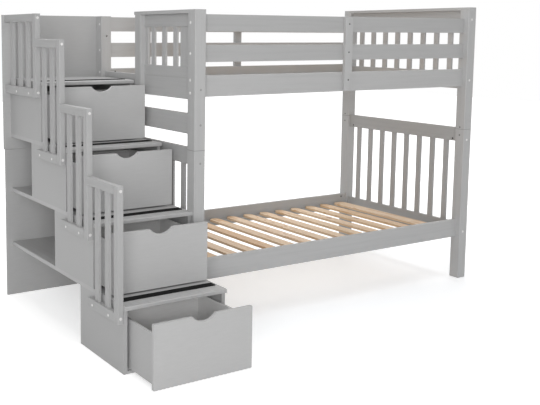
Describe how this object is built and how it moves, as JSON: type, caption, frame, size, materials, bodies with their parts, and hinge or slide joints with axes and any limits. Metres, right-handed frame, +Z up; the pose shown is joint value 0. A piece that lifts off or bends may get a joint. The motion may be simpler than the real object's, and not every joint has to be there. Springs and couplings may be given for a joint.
{
  "type": "bunk bed with staircase",
  "caption": "Twin over twin slatted bunk bed in grey painted wood, with a stepped drawer staircase, stepped slatted guard and way in at its left end.",
  "frame": {"origin": "on the floor under the middle of the box around the bed, its stairs and the drawers as they stand open in the picture", "axes": "+Z up; +X along the bed, from the stairs at the left end to the right end; +Y from the front, where the drawers open, to the back"},
  "size_m": [2.602, 1.584, 1.666],
  "materials": {
    "painted_wood": "satin grey paint over pine, with faint grain",
    "pine": "bare pine, sanded",
    "grip": "black coarse grip strip",
    "bolt_steel": "dull zinc"
  },
  "bodies": {
    "bed_and_stairs": {"post_front_left_lower": "painted_wood", "post_front_left_upper": "painted_wood", "post_back_left_lower": "painted_wood", "post_back_left_upper": "painted_wood", "post_front_right_lower": "painted_wood", "post_front_right_upper": "painted_wood", "post_back_right_lower": "painted_wood", "post_back_right_upper": "painted_wood", "post_dowels": "bolt_steel", "cap_left": "painted_wood", "cap_right": "painted_wood", "guard_post": "painted_wood", "end_right_head_board": "painted_wood", "end_right_slats": "painted_wood", "end_right_rail": "painted_wood", "end_left_head_board": "painted_wood", "end_left_slats": "painted_wood", "end_left_sill_board": "painted_wood", "end_left_rail": "painted_wood", "end_left_rung": "painted_wood", "lower_end_top_rails": "painted_wood", "lower_end_slats": "painted_wood", "lower_end_bottom_rails": "painted_wood", "side_rail_front_upper": "painted_wood", "side_rail_front_lower": "painted_wood", "side_rail_back_upper": "painted_wood", "side_rail_back_lower": "painted_wood", "guard_rails_front": "painted_wood", "guard_rails_back": "painted_wood", "guard_rail_supports": "painted_wood", "slat_ledgers": "painted_wood", "mattress_slats_upper": "pine", "mattress_slats_lower": "pine", "frame_bolts": "bolt_steel", "cross_dowels": "bolt_steel", "stair_back_panel_upper": "painted_wood", "stair_back_panel_lower": "painted_wood", "tread_1": "painted_wood", "tread_2": "painted_wood", "tread_3": "painted_wood", "landing": "painted_wood", "grip_strips": "grip", "stair_sides_left": "painted_wood", "stair_sides_right": "painted_wood", "step_backs": "painted_wood", "kick_board": "painted_wood", "stair_guard_stiles": "painted_wood", "stair_guard_rails": "painted_wood", "stair_guard_slats": "painted_wood", "drawer_runners": "painted_wood"},
    "drawer_1": {"drawer_1_front": "painted_wood", "drawer_1_box": "painted_wood"},
    "drawer_2": {"drawer_2_front": "painted_wood", "drawer_2_box": "painted_wood"},
    "drawer_3": {"drawer_3_front": "painted_wood", "drawer_3_box": "painted_wood"},
    "drawer_4": {"drawer_4_front": "painted_wood", "drawer_4_box": "painted_wood"}
  },
  "joints": [
    {"name": "drawer_1_slide", "type": "slide", "parent": "bed_and_stairs", "child": "drawer_1", "axis": [0, -1, 0], "range_m": [-0.204, 0.126]},
    {"name": "drawer_2_slide", "type": "slide", "parent": "bed_and_stairs", "child": "drawer_2", "axis": [0, -1, 0], "range_m": [-0.147, 0.183]},
    {"name": "drawer_3_slide", "type": "slide", "parent": "bed_and_stairs", "child": "drawer_3", "axis": [0, -1, 0], "range_m": [-0.118, 0.212]},
    {"name": "drawer_4_slide", "type": "slide", "parent": "bed_and_stairs", "child": "drawer_4", "axis": [0, -1, 0], "range_m": [-0.133, 0.197]}
  ]
}
